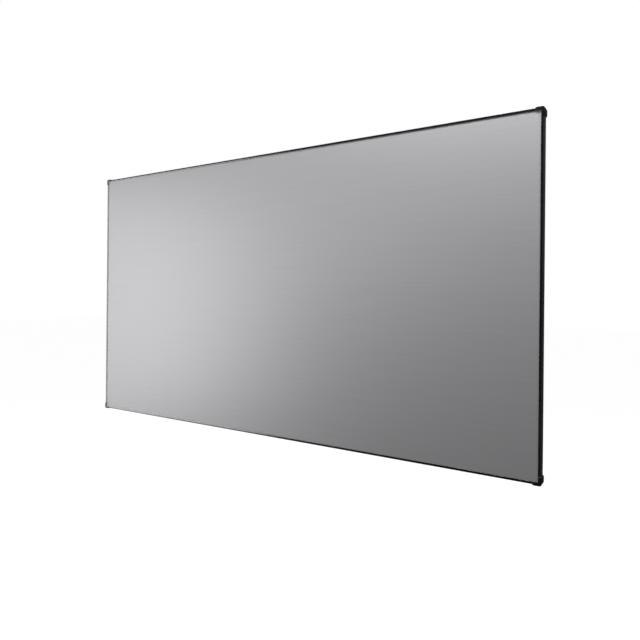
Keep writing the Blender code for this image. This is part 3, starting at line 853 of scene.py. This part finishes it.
@dataclass(frozen=True)
class Edging:
    """The black vinyl welded to the sheet, wrapped round the rail and sewn round the rod.

    Attributes:
        sizes: The frame's sizes.
        thickness: Thickness of the vinyl.
        seat: Clearance to what it lies on.
        flange: Width of the weld on the sheet.
        ridge_radius: Radius of the rail's front ridge.
        heel_radius: Radius of the rail's rear edge.
        rod_radius: Radius of the rod.
        rod_setback: From the rail's outer face to the rod.
        pocket_end: Where the pocket ends on its way round the rod, in degrees.
        notch: Length of the notch at each spring.
    """

    sizes: FrameSizes
    thickness: float = 0.6 * MM
    seat: float = 0.3 * MM
    flange: float = 20.0 * MM
    ridge_radius: float = 4.0 * MM
    heel_radius: float = 1.0 * MM
    rod_radius: float = 2.0 * MM
    rod_setback: float = 10.0 * MM
    pocket_end: float = 210.0
    notch: float = 5.0 * MM

    def rod_centre(self) -> Point2:
        """The middle of the rod across its side, as u and v."""
        back = self.sizes.rail_back + 2 * self.seat + self.thickness + self.rod_radius
        return self.sizes.rail_outer + self.rod_setback, back

    def path(self) -> list[Point2]:
        """Follow the middle of the vinyl from its weld to the end of the pocket.

        Returns:
            Points as u and v.
        """
        outer, front, back = self.sizes.rail_outer, self.sizes.rail_front, self.sizes.rail_back
        skin = self.seat + self.thickness / 2
        ridge = (outer + self.ridge_radius, front + self.ridge_radius)
        heel = (outer + self.heel_radius, back - self.heel_radius)
        points = [(ridge[0] + self.flange, front - skin)]
        points += arc(ridge, self.ridge_radius + skin, 270, 180, 8)
        points += arc(heel, self.heel_radius + skin, 180, 90, 5)
        points += arc(self.rod_centre(), self.rod_radius + skin, -90, self.pocket_end, 20)
        return points

    def build(self, side: Side, places: list[float]) -> None:
        """Build the edging of one side.

        Args:
            side: The side.
            places: Where its springs sit.
        """
        node = f"{side.title}_edging"
        start, end = self.sizes.reach(side, node)
        cuts = [s + way * self.notch / 2 for s in places for way in (-1, 1)]
        stations = [start, *cuts, end]
        path = self.path()
        run = [0.0, *accumulate(map(math.dist, path, path[1:]))]
        pocket_front = self.rod_centre()[1] - self.rod_radius
        made = bmesh.new()
        uv = made.loops.layers.uv.new("UVMap")
        grid = [[made.verts.new((u, v, s)) for u, v in path] for s in stations]
        for row in range(len(stations) - 1):
            # The stations come in pairs, and the pocket is open between the two of a pair.
            in_notch = row % 2 == 1
            for i in range(len(path) - 1):
                if in_notch and min(path[i][1], path[i + 1][1]) > pocket_front:
                    continue
                cells = ((row, i), (row, i + 1), (row + 1, i + 1), (row + 1, i))
                face = made.faces.new([grid[r][c] for r, c in cells])
                for loop, (r, c) in zip(face.loops, cells):
                    loop[uv].uv = (run[c], stations[r] - start)
        loose = [vertex for vertex in made.verts if not vertex.link_faces]
        bmesh.ops.delete(made, geom=loose, context="VERTS")
        bmesh.ops.recalc_face_normals(made, faces=made.faces)
        strip = from_bmesh(f"{node}_strip", made)
        strip.data.transform(self.sizes.matrix(side))
        wall = strip.modifiers.new("vinyl", "SOLIDIFY")
        wall.thickness = self.thickness
        wall.offset = 0
        wall.use_even_offset = True
        strip = smooth(plain_mesh(strip), degrees=50)
        finished(strip, VINYL, "edging", node)


@dataclass(frozen=True)
class SpringRow:
    """The glass-fibre rod of one side, and the springs that pull it towards the rail's channel.

    Attributes:
        sizes: The frame's sizes.
        edging: The edging whose pocket holds the rod.
        coil_radius: Outer radius of a coil.
        wire_radius: Radius of the wire.
        turns: Turns of a coil.
        coil_clearance: From the rod, or the hook, to the coil.
        clearance: From the joining plates to the nearest spring.
        per_half: Springs on half a long side.
        per_short_half: Springs on half a short side.
        slot_setback: From the rail's outer face to the near edge of its slot.
        slot_lip: Thickness of the lip that the hook holds.
        hook_arc: Where the hook round the rod starts and ends, in degrees.
        grip: From the rod's face to the middle of the wire round it, in radii of the wire.
        bend: Radius of the hook's bend over the lip, in radii of the wire.
        closing: Share of the coil over which each end closes in.
        turn_steps: Chords in a turn of the coil.
        wire_sides: Sides of the wire's section.
        rod_sides: Sides of the rod's section.
        rod_edge: Rounding of the rod's sawn ends.
    """

    sizes: FrameSizes
    edging: Edging
    coil_radius: float = 2.9 * MM
    wire_radius: float = 0.6 * MM
    turns: int = 10
    coil_clearance: float = 3.2 * MM
    clearance: float = 20.0 * MM
    per_half: int = 6
    per_short_half: int = 3
    slot_setback: float = 31.5 * MM
    slot_lip: float = 1.6 * MM
    hook_arc: Point2 = (200.0, 75.0)
    grip: float = 0.3
    bend: float = 1.5
    closing: float = 1 / 8
    turn_steps: int = 14
    wire_sides: int = 8
    rod_sides: int = 20
    rod_edge: float = 0.2 * MM

    def places(self, side: Side) -> tuple[float, float, int]:
        """Spread the springs over half a side.

        Args:
            side: The side.

        Returns:
            The place of the first spring from the middle, the pitch, and the number of springs.
        """
        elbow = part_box("bottom_left_elbow")[1]
        outer = -(elbow.x if side.long else elbow.z) - self.clearance
        if not side.long:
            pitch = 2 * outer / (2 * self.per_short_half - 1)
            return pitch / 2, pitch, self.per_short_half
        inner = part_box(f"{side.title}_splice_plate")[1].x + self.clearance
        return inner, (outer - inner) / (self.per_half - 1), self.per_half

    def all_places(self, side: Side) -> list[float]:
        """Where every spring of a side sits, in order."""
        first, pitch, count = self.places(side)
        return sorted(way * (first + pitch * i) for i in range(count) for way in (-1, 1))

    def wire_path(self) -> list[Point3]:
        """Follow a spring's wire: a hook round the rod, the coil, and a hook behind the slot's lip.

        Returns:
            Points as u, v and s.
        """
        wire, seat, back = self.wire_radius, self.edging.seat, self.sizes.rail_back
        rod, rod_radius = self.edging.rod_centre(), self.edging.rod_radius
        slot = self.sizes.rail_outer + self.slot_setback
        hook_u = slot + seat + wire
        path = [(u, v, 0.0) for u, v in arc(rod, rod_radius + self.grip * wire, *self.hook_arc, 8)]
        start = rod[0] + rod_radius + self.coil_clearance
        end = hook_u - self.coil_clearance
        steps = self.turns * self.turn_steps
        for step in range(steps + 1):
            share = step / steps
            angle = FULL_TURN * self.turns * share
            grown = (self.coil_radius - wire) * min(1.0, share / self.closing, (1 - share) / self.closing)
            middle = (start + (end - start) * share, back + seat + self.coil_radius)
            path.append((middle[0], middle[1] + grown * math.cos(angle), grown * math.sin(angle)))
        lip_back = back - self.slot_lip - seat - wire
        bend = wire * self.bend
        over = arc((hook_u - bend, back + seat + wire), bend, 60, 0, 4)
        under = arc((hook_u - wire, lip_back + wire), wire, 0, -90, 4)
        path += [(u, v, 0.0) for u, v in over + under]
        path.append((slot - 2 * wire, lip_back, 0.0))
        return path

    def tree(self) -> bpy.types.NodeTree:
        """Link the nodes that draw wire along a path and repeat it on both halves of a side.

        Returns:
            The tree, which is made once and used for all sides.
        """
        made = bpy.data.node_groups.get("spring_row")
        if made:
            return made
        made = bpy.data.node_groups.new("spring_row", "GeometryNodeTree")
        for name, kind in (
            ("Geometry", "Geometry"),
            ("Wire radius", "Float"),
            ("Wire sides", "Int"),
            ("First place", "Float"),
            ("Pitch", "Float"),
            ("Springs on a half", "Int"),
            ("Finish", "Material"),
        ):
            made.interface.new_socket(name, in_out="INPUT", socket_type=f"NodeSocket{kind}")
        made.interface.new_socket("Geometry", in_out="OUTPUT", socket_type="NodeSocketGeometry")
        given = add_node(made, "NodeGroupInput").outputs
        links = {"Resolution": given["Wire sides"], "Radius": given["Wire radius"]}
        section = add_node(made, "GeometryNodeCurvePrimitiveCircle", links=links)
        links = {"Curve": given["Geometry"], "Profile Curve": section.outputs["Curve"]}
        wire = add_node(made, "GeometryNodeCurveToMesh", {"Fill Caps": True}, links)
        spots = add_node(made, "GeometryNodeJoinGeometry")
        for way in (1.0, -1.0):
            links = {"Count": given["Springs on a half"]}
            for title, amount in (("Start Location", "First place"), ("Offset", "Pitch")):
                settings = {"operation": "MULTIPLY", 1: way}
                signed = add_node(made, "ShaderNodeMath", settings, {0: given[amount]})
                vector = add_node(made, "ShaderNodeCombineXYZ", links={"Z": signed.outputs["Value"]})
                links[title] = vector.outputs["Vector"]
            half = add_node(made, "GeometryNodeMeshLine", {"mode": "OFFSET"}, links)
            made.links.new(half.outputs["Mesh"], spots.inputs["Geometry"])
        links = {"Points": spots.outputs["Geometry"], "Instance": wire.outputs["Mesh"]}
        row = add_node(made, "GeometryNodeInstanceOnPoints", links=links)
        real = add_node(made, "GeometryNodeRealizeInstances", links={"Geometry": row.outputs["Instances"]})
        links = {"Geometry": real.outputs["Geometry"], "Material": given["Finish"]}
        dressed = add_node(made, "GeometryNodeSetMaterial", links=links)
        add_node(made, "NodeGroupOutput", links={"Geometry": dressed.outputs["Geometry"]})
        return made

    def build(self, side: Side) -> None:
        """Build the rod and the springs of one side.

        Args:
            side: The side.
        """
        node = f"{side.title}_rod_and_springs"
        self.build_rod(side, node)
        curve = bpy.data.curves.new("spring_wire_path", "CURVE")
        curve.dimensions = "3D"
        # The mesh starts with the curve's material slots, and would keep an empty one.
        curve.materials.append(WIRE.material())
        spline = curve.splines.new("POLY")
        path = self.wire_path()
        spline.points.add(len(path) - 1)
        for point, place in zip(spline.points, path):
            point.co = (*place, 1)
        springs = new_object(f"{side.title}_springs", curve)
        modifier = springs.modifiers.new("spring_row", "NODES")
        modifier.node_group = self.tree()
        first, pitch, count = self.places(side)
        values = {
            "Wire radius": self.wire_radius,
            "Wire sides": self.wire_sides,
            "First place": first,
            "Pitch": pitch,
            "Springs on a half": count,
            "Finish": WIRE.material(),
        }
        for socket in modifier.node_group.interface.items_tree:
            if socket.in_out == "INPUT" and socket.name in values:
                modifier[socket.identifier] = values[socket.name]
        springs = plain_mesh(springs)
        springs.data.transform(self.sizes.matrix(side))
        finished(smooth(springs, degrees=60), WIRE, "rod_and_springs", node)

    def build_rod(self, side: Side, node: str) -> None:
        """Build the rod of one side.

        Args:
            side: The side.
            node: The node that it stands for.
        """
        outline = arc(self.edging.rod_centre(), self.edging.rod_radius, 0, 360, self.rod_sides)[:-1]
        rod = extrude(f"{side.title}_rod", outline, *self.sizes.reach(side, node))
        rod.data.transform(self.sizes.matrix(side))
        add_bevel(rod, self.rod_edge, degrees=60)
        finished(smooth(plain_mesh(rod)), ROD.along(side.grain), "rod_and_springs", node)


class CarriedParts:
    """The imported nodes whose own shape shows, and the finish of each."""

    def finish_of(self, node: str) -> Finish | None:
        """Find a node's finish by what its name says it is.

        Args:
            node: The node's name.

        Returns:
            The finish, or nothing where the node isn't carried over.
        """
        across = node.startswith(("top_rail", "bottom_rail"))
        rail = RAIL.along(Grain.ACROSS if across else Grain.UPRIGHT)
        for word, finish in (
            ("screw", OXIDE_SCREW),
            ("bracket", COATED_BRACKET),
            ("clip", ZINC),
            ("elbow", ZINC),
            ("splice", ZINC),
            ("bar", TUBE),
            ("rail", rail),
        ):
            if word in node:
                return finish
        return None

    def build(self) -> None:
        """Give each node its material."""
        for node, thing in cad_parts.items():
            finish = self.finish_of(node)
            if finish is None or thing.hide_render:
                continue
            thing.data.materials.clear()
            thing.data.materials.append(finish.material())
            LOG.info("%s: packed node, %s", node, finish.name)


@dataclass(frozen=True)
class Softbox:
    """A soft rectangular lamp that looks at a point of the screen.

    Attributes:
        name: Its name.
        azimuth: Its bearing from the picture's own axis, towards the viewer's right, in degrees.
        elevation: Its height above the point that it looks at, in degrees.
        distance: How far away it is.
        width: Its width.
        height: Its height.
        radiance: How bright its face is, where a white wall in plain light is one.
        target: The point that it looks at.
    """

    name: str
    azimuth: float
    elevation: float
    distance: float
    width: float
    height: float
    radiance: float
    target: Point3 = (0.0, 0.0, 0.0)

    def build(self) -> None:
        """Hang the lamp."""
        lamp = bpy.data.lights.new(self.name, "AREA")
        lamp.shape = "RECTANGLE"
        lamp.size = self.width
        lamp.size_y = self.height
        lamp.energy = self.radiance * math.pi * self.width * self.height
        thing = new_object(self.name, lamp)
        turn, rise = math.radians(self.azimuth), math.radians(self.elevation)
        way = Vector((math.sin(turn) * math.cos(rise), -math.cos(turn) * math.cos(rise), math.sin(rise)))
        thing.location = Vector(self.target) + way * self.distance
        thing.rotation_euler = (-way).to_track_quat("-Z", "Y").to_euler()


@dataclass(frozen=True)
class BlackFlag:
    """A black board outside the picture, which only reflections see, so that black pieces look black.

    Attributes:
        name: Its name.
        start: One end of its near edge.
        end: The other end of its near edge.
        reach: From its near edge to its far edge.
    """

    name: str
    start: Point3
    end: Point3
    reach: Point3

    def build(self) -> None:
        """Set the board up."""
        near = [Vector(self.start), Vector(self.end)]
        far = [corner + Vector(self.reach) for corner in reversed(near)]
        board = panel(self.name, near + far, BOARD.material())
        board.visible_camera = False
        board.visible_diffuse = False
        board.visible_shadow = False


@dataclass(frozen=True)
class Studio:
    """Plain soft light, a pale floor and the camera where the photograph was taken from.

    Attributes:
        lamps: The soft lamps.
        flags: The black boards.
        sky: Strength of the light from all round.
        floor_paint: sRGB hex colour of the floor.
        floor_drop: From the middle of the screen down to the floor.
        floor_size: Width of the floor.
        floor_glow: What the backdrop's own brightness adds to the floor.
        lens_mm: Focal length.
        shift: How far the picture is shifted across and up, as a share of its width.
        place: Where the camera stands.
        pan: How far it turns to the left, in degrees.
        roll: How far it leans to the left, in degrees.
    """

    lamps: tuple[Softbox, ...]
    flags: tuple[BlackFlag, ...]
    sky: float = 0.15
    floor_paint: str = "#5C5C5C"
    floor_drop: float = 1.4
    floor_size: float = 60.0
    floor_glow: float = 0.97
    lens_mm: float = 32.46
    shift: Point2 = (0.0781, -0.0344)
    place: Point3 = (1.4926, -2.1122, -0.0145)
    pan: float = 35.48
    roll: float = 0.532

    def build_camera(self) -> None:
        """Set up the camera."""
        camera = bpy.data.cameras.new("camera")
        camera.lens = self.lens_mm
        camera.shift_x, camera.shift_y = self.shift
        thing = new_object("camera", camera)
        level = Matrix.Rotation(math.radians(90), 4, "X")
        pan = Matrix.Rotation(math.radians(self.pan), 4, "Z")
        roll = Matrix.Rotation(math.radians(self.roll), 4, "Z")
        thing.matrix_world = Matrix.Translation(self.place) @ pan @ level @ roll
        bpy.context.scene.camera = thing

    def strength(self, tree: bpy.types.NodeTree, lit: float, seen: float) -> bpy.types.NodeSocket:
        """Let the backdrop light the scene with one strength and be seen with another.

        Args:
            tree: The node tree.
            lit: Strength for the rays that light the scene.
            seen: Strength for rays from the camera or a mirror, or through glass.

        Returns:
            The strength of the ray at hand.
        """
        path = add_node(tree, "ShaderNodeLightPath").outputs
        total = path["Is Camera Ray"]
        for name in ("Is Glossy Ray", "Is Transmission Ray"):
            links = {0: total, 1: path[name]}
            total = add_node(tree, "ShaderNodeMath", {"operation": "MAXIMUM"}, links).outputs["Value"]
        settings = {"To Min": lit, "To Max": seen}
        return add_node(tree, "ShaderNodeMapRange", settings, {"Value": total}).outputs["Result"]

    def build_world(self) -> None:
        """Light from all round, in front of a white backdrop."""
        world = bpy.data.worlds.new("studio")
        bpy.context.scene.world = world
        world.use_nodes = True
        tree = world.node_tree
        tree.nodes.clear()
        links = {"Strength": self.strength(tree, self.sky, 1.0)}
        light = add_node(tree, "ShaderNodeBackground", {"Color": linear(WHITE)}, links)
        add_node(tree, "ShaderNodeOutputWorld", links={"Surface": light.outputs["Background"]})

    def build_floor(self) -> None:
        """A pale floor that takes on the backdrop's brightness and keeps the shadow."""
        material = bpy.data.materials.new("painted_floor")
        material.use_nodes = True
        tree = material.node_tree
        tree.nodes.clear()
        paint = add_node(tree, "ShaderNodeBsdfDiffuse", {"Color": linear(self.floor_paint)})
        links = {"Strength": self.strength(tree, 0.0, self.floor_glow)}
        glow = add_node(tree, "ShaderNodeEmission", {"Color": linear(WHITE)}, links)
        links = {0: paint.outputs["BSDF"], 1: glow.outputs["Emission"]}
        both = add_node(tree, "ShaderNodeAddShader", links=links)
        add_node(tree, "ShaderNodeOutputMaterial", links={"Surface": both.outputs["Shader"]})
        half = self.floor_size / 2
        signs = ((-1, -1), (1, -1), (1, 1), (-1, 1))
        corners = [(x * half, y * half, -self.floor_drop) for x, y in signs]
        panel("floor", corners, material)

    def build(self) -> None:
        """Set up the camera, the lamps, the backdrop and the floor."""
        self.build_camera()
        self.build_world()
        self.build_floor()
        for thing in (*self.lamps, *self.flags):
            thing.build()
        bpy.context.scene.view_settings.view_transform = "Standard"


LAMPS = (
    Softbox("key_left", -51.2, -4.2, 3.6, width=1.9, height=2.95, radiance=6.2),
    Softbox("upper_front", -17.5, 9.0, 3.4, width=1.8, height=0.4, radiance=4.8),
    Softbox("ceiling_strip", 0.0, 72.7, 1.56, width=2.7, height=0.3, radiance=52.0, target=(1.4, 0.0, 0.3)),
    Softbox("rear", 180.0, 30.0, 3.6, width=2.2, height=2.2, radiance=4.0),
)
FLAGS = (
    BlackFlag("front_flag", (-9.0, -4.3, -1.3), (4.5, -4.3, -1.3), (0.0, 0.0, 5.3)),
    BlackFlag("floor_flag", (-9.0, -4.3, -1.35), (4.5, -4.3, -1.35), (0.0, 4.1, 0.0)),
    BlackFlag("right_flag", (1.6, 0.0, -1.3), (1.1, 3.2, -1.3), (0.0, 0.0, 4.3)),
    BlackFlag("left_flag", (-1.6, 0.0, -1.3), (-1.1, 3.2, -1.3), (0.0, 0.0, 4.3)),
)


def main() -> None:
    """Build the screen and the studio."""
    logging.basicConfig(level=logging.INFO, format="%(message)s")
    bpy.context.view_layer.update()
    sizes = FrameSizes()
    Studio(LAMPS, FLAGS).build()
    PictureSheet().build()
    BezelStrips(sizes).build()
    CornerCaps(sizes).build()
    edging = Edging(sizes)
    springs = SpringRow(sizes, edging)
    for side in Side:
        springs.build(side)
        edging.build(side, springs.all_places(side))
    CarriedParts().build()


if __name__ == "__main__":
    main()
